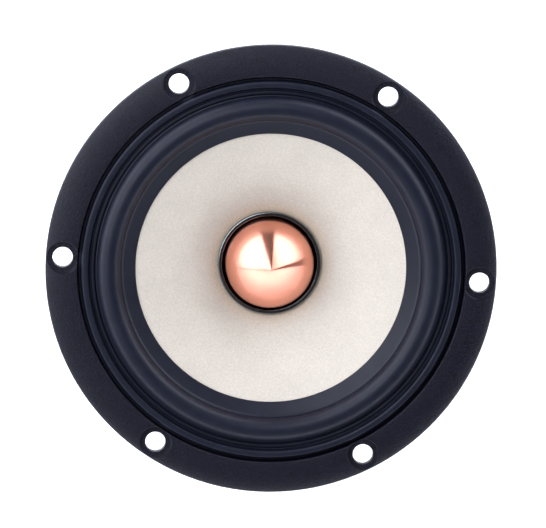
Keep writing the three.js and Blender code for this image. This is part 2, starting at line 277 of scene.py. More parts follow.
def stands_for(piece, node, rides=True):
    """The piece takes the place of a CAD node: its body and its name."""
    piece.name = f"{node}_detail"
    if rides:
        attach(piece, BODY_OF[node])
    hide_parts(node)
    return piece


def bend_by_radius(piece):
    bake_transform(piece)
    points = np.empty(len(piece.data.vertices) * 3)
    piece.data.vertices.foreach_get("co", points)


# ---- Material helpers --------------------------------------------------------------------------------------


def add_node(tree, kind, inputs=None, **settings):
    """Adds a node. An input given as a socket is linked, and anything else is set."""
    node = tree.nodes.new(kind)
    for key, value in settings.items():
        setattr(node, key, value)
    for key, value in (inputs or {}).items():
        if isinstance(value, bpy.types.NodeSocket):
            tree.links.new(value, node.inputs[key])
        else:
            node.inputs[key].default_value = value
    return node


def new_material(name, roughness, metallic=0.0, **sockets):
    """A material with one Principled shader. Returns the material, its node tree and the shader."""
    finish = bpy.data.materials.new(name)
    finish.use_nodes = True
    shader = finish.node_tree.nodes["Principled BSDF"]
    shader.inputs["Roughness"].default_value = roughness
    shader.inputs["Metallic"].default_value = metallic
    for key, value in sockets.items():
        shader.inputs[key.replace("_", " ")].default_value = value
    return finish, finish.node_tree, shader


def noise(tree, size, detail=3.0, roughness=0.6, stretch=(1, 1, 1)):
    """Noise whose lumps are about size millimetres wide."""
    place = add_node(tree, "ShaderNodeTexCoord").outputs["Object"]
    mapping = add_node(tree, "ShaderNodeMapping", {"Vector": place, "Scale": stretch})
    inputs = {"Vector": mapping.outputs[0], "Scale": 1 / (size * MM)}
    inputs.update({"Detail": detail, "Roughness": roughness})
    return add_node(tree, "ShaderNodeTexNoise", inputs).outputs["Fac"]


def cells(tree, size):
    """Voronoi cells about size millimetres wide, as the distance from their centres."""
    place = add_node(tree, "ShaderNodeTexCoord").outputs["Object"]
    inputs = {"Vector": place, "Scale": 1 / (size * MM)}
    return add_node(tree, "ShaderNodeTexVoronoi", inputs).outputs["Distance"]


def shades(tree, factor, dark, light, low_end=0.3, high_end=0.7):
    """A colour that runs from dark to light as the factor runs over its middle range."""
    ramp = add_node(tree, "ShaderNodeValToRGB", {"Fac": factor})
    ramp.color_ramp.elements[0].position = low_end
    ramp.color_ramp.elements[0].color = (*dark, 1)
    ramp.color_ramp.elements[1].position = high_end
    ramp.color_ramp.elements[1].color = (*light, 1)
    return ramp.outputs["Color"]


def levels(tree, factor, low_value, high_value):
    """A number that runs between two values as the factor runs over its middle range."""
    inputs = {"Value": factor, "From Min": 0.3, "From Max": 0.7, "To Min": low_value, "To Max": high_value}
    return add_node(tree, "ShaderNodeMapRange", inputs).outputs["Result"]


def relief(tree, height, depth, strength=1.0, under=None):
    """Bump from a height of 0 to 1 that stands for depth millimetres, on top of another bump if given."""
    inputs = {"Height": height, "Distance": depth * MM, "Strength": strength}
    if under is not None:
        inputs["Normal"] = under
    return add_node(tree, "ShaderNodeBump", inputs).outputs["Normal"]


def multiplied(tree, first, second):
    inputs = {"Factor": 1.0, "A": first, "B": second}
    mixed = add_node(tree, "ShaderNodeMix", inputs, data_type="RGBA", blend_type="MULTIPLY")
    return mixed.outputs["Result"]


def radius_of(tree):
    """The distance from the speaker's axis, in metres."""
    place = add_node(tree, "ShaderNodeTexCoord").outputs["Object"]
    flat = add_node(tree, "ShaderNodeVectorMath", {0: place, 1: (1, 1, 0)}, operation="MULTIPLY")
    return add_node(tree, "ShaderNodeVectorMath", {0: flat.outputs[0]}, operation="LENGTH").outputs["Value"]


def turning_marks(tree, pitch):
    """Fine rings round the speaker's axis, as a lathe leaves, about pitch millimetres apart."""
    place = add_node(tree, "ShaderNodeTexCoord").outputs["Object"]
    z = add_node(tree, "ShaderNodeSeparateXYZ", {0: place}).outputs["Z"]
    spot = add_node(tree, "ShaderNodeCombineXYZ", {"X": radius_of(tree), "Y": z}).outputs[0]
    inputs = {"Vector": spot, "Scale": 1 / (pitch * MM), "Detail": 2.0}
    return add_node(tree, "ShaderNodeTexNoise", inputs).outputs["Fac"]


def join_colour(tree, shader, colour):
    tree.links.new(colour, shader.inputs["Base Color"])


def join_normal(tree, shader, normal):
    tree.links.new(normal, shader.inputs["Normal"])


def join_roughness(tree, shader, value):
    tree.links.new(value, shader.inputs["Roughness"])


# ---- Materials ---------------------------------------------------------------------------------------------


def powder_coat():
    finish, tree, shader = new_material("textured_powder_coat", 0.35, Specular_IOR_Level=0.2)
    pebbles = cells(tree, 0.55)
    grain = noise(tree, 0.38, detail=4.0, roughness=0.75)
    coat = shades(tree, grain, (0.0002, 0.0002, 0.0015), (0.010, 0.0098, 0.026), 0.46, 0.68)
    join_colour(tree, shader, coat)
    join_roughness(tree, shader, levels(tree, noise(tree, 0.8), 0.28, 0.42))
    join_normal(tree, shader, relief(tree, grain, 0.15, 0.9, relief(tree, pebbles, 0.08, 0.6)))
    return finish


def surround_rubber():
    finish, tree, shader = new_material("surround_rubber", 0.42, Specular_IOR_Level=0.22)
    patches = noise(tree, 6.0, detail=2.0)
    join_colour(tree, shader, shades(tree, patches, (0.0045, 0.0055, 0.0115), (0.006, 0.0072, 0.0145)))
    join_roughness(tree, shader, levels(tree, noise(tree, 2.5), 0.38, 0.47))
    join_normal(tree, shader, relief(tree, noise(tree, 0.25, detail=2.0), 0.02, 0.35))
    return finish


def cone_coating():
    """A cream coating with a fine grain, and a painted warm glow near the neck that stands in for copper
    light reflected onto the cone by the plug.
    """
    finish, tree, shader = new_material("cream_cone_coating", 0.55, Specular_IOR_Level=0.35)
    grain = noise(tree, 0.45, detail=4.0, roughness=0.7)
    cream = shades(tree, noise(tree, 9.0, detail=3.0), (0.56, 0.50, 0.41), (0.605, 0.54, 0.445))
    # Painted reflected light: the cone turns warmer towards its neck, in place of the copper glow thrown from
    # the plug.
    from_neck = add_node(tree, "ShaderNodeMapRange", {"Value": radius_of(tree)})
    from_neck.interpolation_type = "SMOOTHSTEP"
    from_neck.inputs["From Min"].default_value = 13.5 * MM
    from_neck.inputs["From Max"].default_value = 18 * MM
    painted_plug_glow = shades(tree, from_neck.outputs["Result"], (1.0, 0.89, 0.78), (1.0, 1.0, 1.0), 0.0, 1.0)
    specks = shades(tree, grain, (0.82, 0.82, 0.82), (1.0, 1.0, 1.0), 0.36, 0.64)
    join_colour(tree, shader, multiplied(tree, multiplied(tree, cream, painted_plug_glow), specks))
    join_roughness(tree, shader, levels(tree, grain, 0.48, 0.62))
    join_normal(tree, shader, relief(tree, grain, 0.07, 0.6))
    return finish


def polished_copper():
    """The lathe's fine rings blur a reflection along the plug's side and leave it sharp round the plug."""
    lathe = {"Anisotropic": 0.9, "Anisotropic_Rotation": 0.25}
    finish, tree, shader = new_material("polished_copper", 0.235, 1.0, **lathe)
    tangent = add_node(tree, "ShaderNodeTangent")
    tangent.direction_type = "RADIAL"
    tangent.axis = "Z"
    tree.links.new(tangent.outputs["Tangent"], shader.inputs["Tangent"])
    tarnish = noise(tree, 5.0, detail=4.0)
    join_colour(tree, shader, shades(tree, tarnish, (0.90, 0.365, 0.25), (0.93, 0.39, 0.27)))
    join_roughness(tree, shader, levels(tree, tarnish, 0.22, 0.25))
    return finish


def gloss_lacquer():
    finish, tree, shader = new_material("black_chrome", 0.14, 1.0)
    film = noise(tree, 1.6, detail=2.0)
    join_colour(tree, shader, shades(tree, film, (0.24, 0.25, 0.25), (0.30, 0.312, 0.312)))
    join_roughness(tree, shader, levels(tree, film, 0.11, 0.17))
    return finish


def black_anodising():
    finish, tree, shader = new_material("black_anodised_aluminium", 0.35, 0.6)
    marks = turning_marks(tree, 0.15)
    join_colour(tree, shader, shades(tree, marks, (0.008, 0.008, 0.010), (0.018, 0.018, 0.020)))
    join_roughness(tree, shader, levels(tree, marks, 0.3, 0.45))
    join_normal(tree, shader, relief(tree, marks, 0.01, 0.4))
    return finish


def zinc_plate():
    finish, tree, shader = new_material("zinc_plated_steel", 0.34, 1.0)
    marks = turning_marks(tree, 0.18)
    bloom = noise(tree, 7.0, detail=5.0)
    join_colour(tree, shader, shades(tree, bloom, (0.19, 0.195, 0.20), (0.27, 0.275, 0.28)))
    join_roughness(tree, shader, levels(tree, bloom, 0.26, 0.42))
    join_normal(tree, shader, relief(tree, marks, 0.012, 0.5))
    return finish


def screw_zinc():
    finish, tree, shader = new_material("screw_zinc", 0.3, 1.0)
    bloom = noise(tree, 1.4, detail=4.0)
    join_colour(tree, shader, shades(tree, bloom, (0.50, 0.49, 0.45), (0.63, 0.62, 0.60)))
    join_roughness(tree, shader, levels(tree, bloom, 0.24, 0.4))
    join_normal(tree, shader, relief(tree, bloom, 0.02, 0.3))
    return finish


def ferrite():
    finish, tree, shader = new_material("ferrite", 0.62)
    grain = noise(tree, 0.5, detail=6.0, roughness=0.7)
    blotches = noise(tree, 8.0, detail=4.0)
    join_colour(tree, shader, shades(tree, blotches, (0.017, 0.017, 0.018), (0.036, 0.035, 0.034)))
    join_roughness(tree, shader, levels(tree, grain, 0.5, 0.75))
    join_normal(tree, shader, relief(tree, grain, 0.05, 0.6))
    return finish


def copper_wire():
    finish, tree, shader = new_material("enamelled_wire", 0.25, 1.0)
    sheen = noise(tree, 2.0)
    join_colour(tree, shader, shades(tree, sheen, (0.50, 0.15, 0.045), (0.66, 0.23, 0.08)))
    join_roughness(tree, shader, levels(tree, sheen, 0.2, 0.32))
    return finish


def spider_cloth():
    """Resin-dipped cotton: two sets of threads at right angles that pass over and under each other."""
    finish, tree, shader = new_material("spider_cloth", 0.8, Sheen_Weight=0.15)
    place = add_node(tree, "ShaderNodeTexCoord").outputs["Object"]
    thread = 0.8
    waves = []
    for direction in ("X", "Y"):
        inputs = {"Vector": place, "Scale": 1 / (thread * MM) * math.pi / 10, "Distortion": 0.0}
        node = add_node(tree, "ShaderNodeTexWave", inputs, wave_type="BANDS", bands_direction=direction)
        waves.append(node.outputs["Fac"])
    weave = add_node(tree, "ShaderNodeMath", {0: waves[0], 1: waves[1]}, operation="MULTIPLY").outputs[0]
    fibres = noise(tree, 0.25, detail=3.0)
    resin = noise(tree, 6.0, detail=3.0)
    cotton = shades(tree, resin, (0.26, 0.145, 0.045), (0.36, 0.22, 0.08))
    gaps = shades(tree, weave, (0.66, 0.64, 0.60), (1.0, 1.0, 1.0), 0.0, 0.45)
    join_colour(tree, shader, multiplied(tree, cotton, gaps))
    join_roughness(tree, shader, levels(tree, fibres, 0.68, 0.9))
    join_normal(tree, shader, relief(tree, fibres, 0.03, 0.5, relief(tree, weave, 0.15, 0.8)))
    return finish


def phenolic_board():
    finish, tree, shader = new_material("phenolic_board", 0.55)
    fibres = noise(tree, 0.5, detail=4.0, stretch=(0.25, 1, 1))
    join_colour(tree, shader, shades(tree, fibres, (0.012, 0.009, 0.008), (0.032, 0.022, 0.017)))
    join_roughness(tree, shader, levels(tree, fibres, 0.45, 0.65))
    join_normal(tree, shader, relief(tree, fibres, 0.02, 0.4))
    return finish


def terminal_brass():
    finish, tree, shader = new_material("terminal_brass", 0.28, 1.0)
    brushing = noise(tree, 0.3, detail=3.0, stretch=(1, 1, 0.06))
    tarnish = noise(tree, 3.0, detail=4.0)
    join_colour(tree, shader, shades(tree, tarnish, (0.62, 0.40, 0.13), (0.80, 0.58, 0.24)))
    join_roughness(tree, shader, levels(tree, brushing, 0.22, 0.38))
    join_normal(tree, shader, relief(tree, brushing, 0.01, 0.4))
    return finish


def solder():
    finish, tree, shader = new_material("solder", 0.22, 1.0)
    skin = noise(tree, 0.8, detail=4.0)
    join_colour(tree, shader, shades(tree, skin, (0.55, 0.55, 0.56), (0.72, 0.72, 0.72)))
    join_roughness(tree, shader, levels(tree, skin, 0.15, 0.35))
    join_normal(tree, shader, relief(tree, skin, 0.05, 0.4))
    return finish


def tinsel_wire():
    finish, tree, shader = new_material("tinsel_wire", 0.32, 1.0)
    strands = noise(tree, 0.2, detail=2.0)
    join_colour(tree, shader, shades(tree, strands, (0.46, 0.22, 0.12), (0.72, 0.42, 0.26)))
    join_roughness(tree, shader, levels(tree, strands, 0.25, 0.42))
    return finish


def pale_floor():
    finish, tree, shader = new_material("pale_floor", 0.9, Emission_Strength=0.55)
    shader.inputs["Emission Color"].default_value = (1, 1, 1, 1)
    dust = noise(tree, 40.0, detail=3.0)
    join_colour(tree, shader, shades(tree, dust, (0.86, 0.86, 0.86), (0.90, 0.90, 0.90)))
    return finish


# ---- Camera, lights and floor ------------------------------------------------------------------------------

IMAGE_ROLL = 3.9  # the image's right is this many degrees from +X, towards +Y
CAMERA_TILT = 8.6  # the camera stands this many degrees off the speaker's axis
CAMERA_LEAN = 15.9  # it stands towards the image's top, and this many degrees to the left of that
CAMERA_DISTANCE = 1500
CAMERA_LENS = 373.0
AIM_RIGHT = 0.36  # where the camera aims on the flange's front, to the image's right of the axis
AIM_UP = 1.8


# The speaker lies in a tent of upright white walls, lit in three bands, with narrow gaps and roof lights.
LIGHT_DISTANCE = 0.6
LIGHT_COLOUR = (0.95, 1.0, 1.14)
TENT_BANDS = [(0.5, 12), (12, 26), (26, 44)]
TENT_WALLS = {
    "upper_left": (106.5, 189.5, (4.0, 6.8, 2.4)),
    "upper_gap": (79.5, 106.5, (0.10, 0.05, 0.05)),
    "upper_right": (5, 79.5, (3.8, 7.2, 0.8)),
    "right_gap": (-6.5, 5, (0.20, 0.15, 0.3)),
    "lower_right": (-61, -6.5, (0.4, 5.2, 0.3)),
    "lower": (-115, -61, (0.4, 5.2, 0.3)),
    "lower_left": (-169, -115, (0.4, 5.2, 0.9)),
}
TENT_ROOF = {
    "roof_upper_left": (95, 180, 5.4),
    "roof_lower_left": (-175, -90, 0.6),
}


def image_direction(degrees):
    """A level direction, given by its angle in the image: 0 is the image's right and 90 its top."""
    angle = math.radians(IMAGE_ROLL + degrees)
    return Vector((math.cos(angle), math.sin(angle), 0))


def add_camera():
    camera = bpy.data.objects.new("camera", bpy.data.cameras.new("camera"))
    bpy.context.scene.collection.objects.link(camera)
    aim = Vector((0, 0, FLANGE_FRONT)) + image_direction(0) * AIM_RIGHT + image_direction(90) * AIM_UP
    tilt = math.radians(CAMERA_TILT)
    back = image_direction(90 + CAMERA_LEAN) * math.sin(tilt) + Vector((0, 0, 1)) * math.cos(tilt)
    right = image_direction(90).cross(back).normalized()
    up = back.cross(right)
    camera.matrix_world = Matrix.Translation((aim + back * CAMERA_DISTANCE) * MM) @ Matrix(
        (right, up, back)
    ).transposed().to_4x4()
    camera.data.lens = CAMERA_LENS
    camera.data.sensor_width = 36
    camera.data.clip_start = 0.01
    camera.data.clip_end = 20
    bpy.context.scene.camera = camera


def add_panel(name, first, last, lowest, highest, radiance, upright=True):
    """A flat light that faces the speaker and spans these image angles and elevations, in degrees."""
    middle = math.radians((lowest + highest) / 2)
    rise = 0 if upright else middle
    tall = [math.tan(math.radians(edge) - rise) * LIGHT_DISTANCE for edge in (lowest, highest)]
    data = bpy.data.lights.new(name, "AREA")
    data.shape = "RECTANGLE"
    data.size = 2 * LIGHT_DISTANCE * math.tan(math.radians(last - first) / 2) * math.cos(rise)
    data.size_y = tall[1] - tall[0]
    data.color = LIGHT_COLOUR
    data.energy = radiance * math.pi * data.size * data.size_y
    panel = bpy.data.objects.new(name, data)
    bpy.context.scene.collection.objects.link(panel)
    outward = image_direction((first + last) / 2) * math.cos(rise) + Vector((0, 0, math.sin(rise)))
    across = Vector((0, 0, 1)).cross(outward).normalized()
    upward = outward.cross(across)
    centre = outward * LIGHT_DISTANCE + upward * sum(tall) / 2 + Vector((0, 0, PLUG_TIP * MM))
    panel.matrix_world = Matrix.Translation(centre) @ Matrix((across, upward, outward)).transposed().to_4x4()
    panel.visible_camera = False


def add_world():
    """Dim overhead and brighter towards the horizon."""
    world = bpy.data.worlds.new("studio")
    bpy.context.scene.world = world
    world.use_nodes = True
    tree = world.node_tree
    place = add_node(tree, "ShaderNodeTexCoord").outputs["Generated"]
    height = add_node(tree, "ShaderNodeSeparateXYZ", {0: place}).outputs["Z"]
    sky = shades(tree, height, (0.20, 0.20, 0.22), (0.05, 0.05, 0.056), 0.0, 0.5)
    background = tree.nodes["Background"]
    tree.links.new(sky, background.inputs["Color"])
    background.inputs["Strength"].default_value = 1.0


def add_floor():
    """The floor lies a hair under the back plate, so the two faces don't fight for the same plane."""
    half = 4000
    level = -0.05
    corners = [(-half, -half, level), (half, -half, level), (half, half, level), (-half, half, level)]
    floor = finished(new_piece("floor", corners, [(0, 1, 2, 3)]), pale_floor())


add_camera()
add_world()
for wall, (first, last, bands) in TENT_WALLS.items():
    for (lowest, highest), radiance in zip(TENT_BANDS, bands):
        add_panel(f"{wall}_{highest}", first, last, lowest, highest, radiance)
for name, (first, last, radiance) in TENT_ROOF.items():
    add_panel(name, first, last, 46, 72, radiance, upright=False)
add_floor()


# ---- Basket ------------------------------------------------------------------------------------------------


def flange_ring():
    """The rim with the surround's ledge. Its front falls away to the edge along a quarter of an ellipse."""
    crown = [
        (
            FLANGE_RADIUS - CROWN_WIDTH * (1 - math.cos(math.radians(angle))),
            FLANGE_FRONT - CROWN_DROP * (1 - math.sin(math.radians(angle))),
        )
        for angle in range(12, 91, 3)
    ]
    return turned(
        "flange",
        rounded(
            [
                (RIM_INNER, RIM_BOTTOM, 0.6),
                (RIM_OUTER, RIM_BOTTOM, 0.8),
                (RIM_OUTER, FLANGE_REAR, 0.5),
                (FLANGE_RADIUS, FLANGE_REAR, 0.25),
                (FLANGE_RADIUS, crown[0][1] - 0.4),
                *crown,
                (FLANGE_INNER, FLANGE_FRONT, 0.3),
                (FLANGE_INNER, LEDGE, 0.2),
                (RIM_INNER, LEDGE, 0.4),
            ]
        ),
    )


def spider_tub():
    return turned(
        "tub",
        rounded(
            [
                (FOOT_INNER, FOOT_BOTTOM, 0.3),
                (FOOT_RADIUS, FOOT_BOTTOM, 0.3),
                (FOOT_RADIUS, FOOT_TOP, 0.8),
                (TUB_OUTER, FOOT_TOP, 1.2),
                (TUB_OUTER, TUB_TOP, 0.5),
                (SPIDER_RADIUS + 0.3, TUB_TOP, 0.2),
                (SPIDER_RADIUS + 0.3, SPIDER_LEDGE, 0.1),
                (27.7, SPIDER_LEDGE, 0.3),
                (27.7, SPIDER_LEDGE - 2, 0.5),
                (TUB_INNER, SPIDER_LEDGE - 2, 0.5),
                (TUB_INNER, FOOT_TOP, 1.0),
                (FOOT_INNER, FOOT_TOP, 0.4),
            ]
        ),
    )


def arm(angle):
    """A cast arm from the tub to the rim. It widens towards both ends."""
    outer = [(36.6, 25.8), (37.2, 28.4), (39.3, 31.3), (42.3, 35.6), (45.4, 40.3)]
    outer += [(48.0, 44.7), (49.6, 48.4), (50.1, 52.0), (50.1, 55)]
    inner = [(31.0, 25.8), (31.1, 29.6), (32.4, 32.7), (35.3, 36.0), (39.0, 40.5)]
    inner += [(42.8, 45.3), (45.6, 49.1), (46.8, 51.9), (47.0, 55)]
    widths = [13.5, 12.0, 10.3, 9.2, 8.6, 8.8, 10.0, 12.4, 14.0]
    corner = 1.3
    sections = []
    for (outer_r, outer_z), (inner_r, inner_z), width in zip(outer, inner, widths):
        centre = Vector(((outer_r + inner_r) / 2, 0, (outer_z + inner_z) / 2))
        across = Vector((outer_r - inner_r, 0, outer_z - inner_z))
        half_depth = across.length / 2
        across.normalize()
        ring = []
        for first, sign_u, sign_v in ((0, 1, 1), (90, -1, 1), (180, -1, -1), (270, 1, -1)):
            for step in range(6):
                turn = math.radians(first + step * 18)
                u = sign_u * (half_depth - corner) + corner * math.cos(turn)
                v = sign_v * (width / 2 - corner) + corner * math.sin(turn)
                ring.append(centre + across * u + Vector((0, 1, 0)) * v)
        sections.append(ring)
    return placed(lofted("arm", sections), turn=angle)


def board_boss():
    """The flat pad on the arm at -Y that the terminal board is screwed to."""
    half = ARM_WIDTH / 2
    middle = (low("terminal_board", "z") + high("terminal_board", "z")) / 2
    pad = prism("boss", [(-half, -5), (half, -5), (half, 5), (-half, 5)], 0, -BOARD_BACK - 39.5)
    return placed(bevelled(pad, 0.6), y=-39.5, z=middle, facing="front_board")


def add_basket():
    arm_angles = [30 + 360 / ARM_COUNT * i for i in range(ARM_COUNT)]
    hole_angles = [360 / HOLE_COUNT * i for i in range(HOLE_COUNT)]
    basket = boolean(flange_ring(), "UNION", [spider_tub(), *map(arm, arm_angles), board_boss()])
    seat_floor = FLANGE_FRONT - SEAT_DEPTH
    cutters = []
    for angle in hole_angles:
        outline = rounded(
            [
                (0, FLANGE_REAR - 1),
                (HOLE_RADIUS, FLANGE_REAR - 1),
                (HOLE_RADIUS, seat_floor, 0.15),
                (SEAT_RADIUS, seat_floor, 0.25),
                (SEAT_RADIUS + 0.05, FLANGE_FRONT - 0.2, 0.15),
                (SEAT_RADIUS + 0.5, FLANGE_FRONT + 0.2),
                (SEAT_RADIUS + 0.5, FLANGE_FRONT + 1),
                (0, FLANGE_FRONT + 1),
            ]
        )
        cutters.append(placed(turned("hole", outline, SMALL_STEPS), x=HOLE_PITCH_RADIUS, turn=angle))
    basket = boolean(basket, "DIFFERENCE", cutters)
    stands_for(finished(basket, powder_coat()), "basket")


add_basket()


# ---- Surround, cone and the rest of the moving assembly ----------------------------------------------------


def cone_front(radius):
    return CONE_TOP - (CONE_RADIUS - radius) * CONE_SLOPE


def cone_back(radius):
    return cone_front(radius) - CONE_THICKNESS / math.cos(math.atan(CONE_SLOPE))


def add_surround():
    lip_radius = high("surround", "x")
    lip_top = LEDGE + 1
    roll_radius = 3.25
    roll_centre = 43.15
    roll_base = high("surround", "z") - roll_radius
    lip_inner = 36.0
    lip_thickness = 0.6
    gap = 0.05
    front = rounded(
        [
            (lip_radius, LEDGE, 0.15),
            (lip_radius, lip_top, 0.2),
            (50.75, lip_top, 0.15),
            (50.45, lip_top + 1.6, 0.7),
            (48.75, lip_top + 1.6, 0.7),
            (48.3, lip_top + 0.1, 0.2),
            (48.0, lip_top + 0.1, 0.1),
            (47.75, lip_top + 0.55, 0.25),
            (47.1, lip_top + 0.55, 0.25),
            (46.75, lip_top, 0.2),
            (46.45, lip_top, 0.1),
        ]
    )
    foot = arc(39.1, cone_front(39.1) + lip_thickness + 0.85, 0.8, -10, -66, 8)
    back = rounded(
        [
            (lip_inner + 0.05, cone_front(lip_inner) + lip_thickness, 0.25),
            (lip_inner, cone_front(lip_inner) + gap, 0.1),
            (CONE_RADIUS, cone_front(CONE_RADIUS) + gap, 0.1),
        ]
    )
    outline = [
        *front,
        *arc(roll_centre, roll_base, roll_radius, 3, 170, 44),
        *foot,
        *back,
        *arc(roll_centre, roll_base, roll_radius - 0.8, 174, 0, 30),
        (RIM_INNER, LEDGE),
    ]
    surround = finished(turned("surround", outline), surround_rubber())
    stands_for(surround, "surround", rides=False)
    bend_by_radius(surround)


def add_cone():
    outline = rounded(
        [
            (NECK_RADIUS, CONE_BOTTOM, 0.1),
            (NECK_RADIUS + CONE_THICKNESS, CONE_BOTTOM, 0.1),
            (NECK_RADIUS + CONE_THICKNESS, cone_back(NECK_RADIUS + CONE_THICKNESS), 1.0),
            (CONE_RADIUS, cone_back(CONE_RADIUS), 0.1),
            (CONE_RADIUS, CONE_TOP, 0.1),
            (NECK_RADIUS, cone_front(NECK_RADIUS), 0.2),
        ]
    )
    stands_for(finished(turned("cone", outline), cone_coating()), "cone")


def add_neck_ring():
    top = high("neck_ring", "z")
    seat = high("voice_coil_former", "z") + 0.1
    outline = rounded(
        [
            (NECK_RADIUS, cone_front(NECK_RADIUS) + 0.05),
            (13.9, cone_front(13.9) + 0.05, 0.08),
            (13.75, top, 0.3),
            (13.2, top - 0.05, 0.2),
            (FORMER_INNER, top, 0.2),
            (FORMER_INNER, seat, 0.05),
            (NECK_RADIUS, seat, 0.05),
        ]
    )
    stands_for(finished(turned("neck_ring", outline), gloss_lacquer()), "neck_ring")


def add_former():
    bottom = low("voice_coil_former", "z")
    top = high("voice_coil_former", "z")
    outer = high("voice_coil_former", "x")
    corners = [(FORMER_INNER, bottom), (outer, bottom), (outer, top), (FORMER_INNER, top)]
    outline = rounded([(r, z, 0.08) for r, z in corners])
    stands_for(finished(turned("former", outline), black_anodising()), "voice_coil_former")


def add_winding():
    """One layer of wire shows, so each turn is a ridge on the coil's outside."""
    bottom = low("voice_coil_winding", "z")
    top = high("voice_coil_winding", "z")
    outer = high("voice_coil_winding", "x")
    turns = 40
    wire = (top - bottom) / turns / 2
    outline = [(NECK_RADIUS, top), (NECK_RADIUS, bottom)]
    for turn in range(turns):
        outline += arc(outer - wire, bottom + wire * (2 * turn + 1), wire, -90, 90, 4)
    stands_for(finished(turned("winding", outline, 120), copper_wire()), "voice_coil_winding")


def add_spider():
    """Concentric waves pressed into cloth, with a flat outer lip and a collar on the former."""
    thickness = 0.4
    wave_inner = 14.6
    wave_outer = 27.8
    waves = 5
    height = 1.1
    middle = (low("spider", "z") + high("spider", "z") - thickness) / 2
    steps = 90
    under = [(NECK_RADIUS, middle + 0.5), (NECK_RADIUS + 0.35, middle)]
    for k in range(steps + 1):
        radius = wave_inner + (wave_outer - wave_inner) * k / steps
        share = min(1.0, 3 * k / steps, 3 * (steps - k) / steps)
        drop = (middle - SPIDER_LEDGE - 0.05) * max(0.0, k / steps - 0.8) * 5
        under.append((radius, middle - drop + height * share * math.sin(2 * math.pi * waves * k / steps)))
    under.append((SPIDER_RADIUS, SPIDER_LEDGE + 0.05))
    over = [(radius, z + thickness) for radius, z in reversed(under)]
    spider = finished(turned("spider", under + over), spider_cloth())
    stands_for(spider, "spider", rides=False)
    bend_by_radius(spider)


add_surround()
add_cone()
add_neck_ring()
add_former()
add_winding()
add_spider()


# ---- Phase plug and magnet system --------------------------------------------------------------------------


def plug_point():
    """The plug's point from its tip down: a nose arc, a shoulder arc and an edge arc that ends upright."""
    point = [(0, PLUG_TIP)]

    def add_arc(radius, first, last, steps):
        centre_r = point[-1][0] - radius * math.cos(math.radians(first))
        centre_z = point[-1][1] - radius * math.sin(math.radians(first))
        point.extend(arc(centre_r, centre_z, radius, first, last, steps)[1:])

    add_arc(46.7, 61, 48, 40)
    add_arc(11.6, 48, 22, 24)
    add_arc((PLUG_RADIUS - point[-1][0]) / (1 - math.cos(math.radians(22))), 22, 0, 12)
    return point


def add_phase_plug():
    base = low("phase_plug", "z")
    bore_top = base + 12
    point = plug_point()
    corners = [(2.6, base), (PLUG_RADIUS, base, 0.4), point[-1]]
    outline = [(0, bore_top), (2.6, bore_top - 1), *rounded(corners)[:-1], *reversed(point)]
    stands_for(finished(turned("plug", outline), polished_copper()), "phase_plug")


def add_yoke():
    plate = high("yoke", "x")
    pole = 12.3
    bore = 2.75
    recess = 4.7
    recess_top = 4.5
    outline = rounded(
        [
            (recess, 0, 0.3),
            (plate, 0, 1.2),
            (plate, BACK_TOP, 0.4),
            (pole, BACK_TOP, 0.3),
            (pole, POLE_TOP, 0.5),
            (bore, POLE_TOP, 0.2),
            (bore, recess_top, 0.2),
            (recess, recess_top, 0.2),
        ]
    )
    stands_for(finished(turned("yoke", outline), zinc_plate()), "yoke")


def add_magnet():
    inner = 19
    outer = high("magnet", "x")
    chamfer = 0.8
    outline = rounded(
        [
            (inner, BACK_TOP, 0.4),
            (outer - chamfer, BACK_TOP, 0.3),
            (outer, BACK_TOP + chamfer, 0.3),
            (outer, PLATE_BOTTOM - chamfer, 0.3),
            (outer - chamfer, PLATE_BOTTOM, 0.3),
            (inner, PLATE_BOTTOM, 0.4),
        ]
    )
    stands_for(finished(turned("magnet", outline), ferrite()), "magnet")


def add_top_plate():
    bore = 13.9
    outer = high("top_plate", "x")
    outline = rounded(
        [
            (bore, PLATE_BOTTOM, 0.2),
            (outer, PLATE_BOTTOM, 0.5),
            (outer, FOOT_BOTTOM, 0.5),
            (bore, FOOT_BOTTOM, 0.2),
        ]
    )
    stands_for(finished(turned("top_plate", outline), zinc_plate()), "top_plate")


def socket_screw(name, outline, socket_radius, socket_floor, socket_mouth):
    """A turned screw on the axis with a hexagon socket between two heights."""
    screw = turned(name, outline, SMALL_STEPS)
    lower, upper = sorted((socket_floor, socket_mouth))
    hexagon = prism("socket", circle(socket_radius, 6), lower, upper)
    return boolean(screw, "DIFFERENCE", [hexagon])


def add_plug_screw():
    bottom = low("phase_plug_screw", "z")
    head = high("phase_plug_screw", "x")
    top = high("phase_plug_screw", "z")
    outline = rounded(
        [
            (0, bottom),
            (head, bottom, 0.5),
            (head, bottom + 3.8, 0.1),
            (2.4, bottom + 3.8),
            (2.4, top - 0.5),
            (1.9, top),
            (0, top),
        ]
    )
    screw = socket_screw("plug_screw", outline, 2.3, bottom + 2.2, bottom - 1)
    stands_for(finished(screw, screw_zinc()), "phase_plug_screw")


def add_plate_screws():
    for number, angle in enumerate((60, 180, 300), start=1):
        node = f"plate_screw_{number}"
        bottom = low(node, "z")
        top = high(node, "z")
        outline = rounded(
            [
                (0, bottom),
                (1.4, bottom),
                (1.9, bottom + 0.5),
                (1.9, FOOT_TOP),
                (2.9, FOOT_TOP, 0.1),
                (2.9, top, 0.5),
                (0, top),
            ]
        )
        screw = socket_screw(node, outline, 1.6, top - 1.4, top + 1)
        placed(screw, x=35.2, turn=angle)
        stands_for(finished(screw, screw_zinc()), node)


add_phase_plug()
add_yoke()
add_magnet()
add_top_plate()
add_plug_screw()
add_plate_screws()


# ---- Terminals and leads -----------------------------------------------------------------------------------

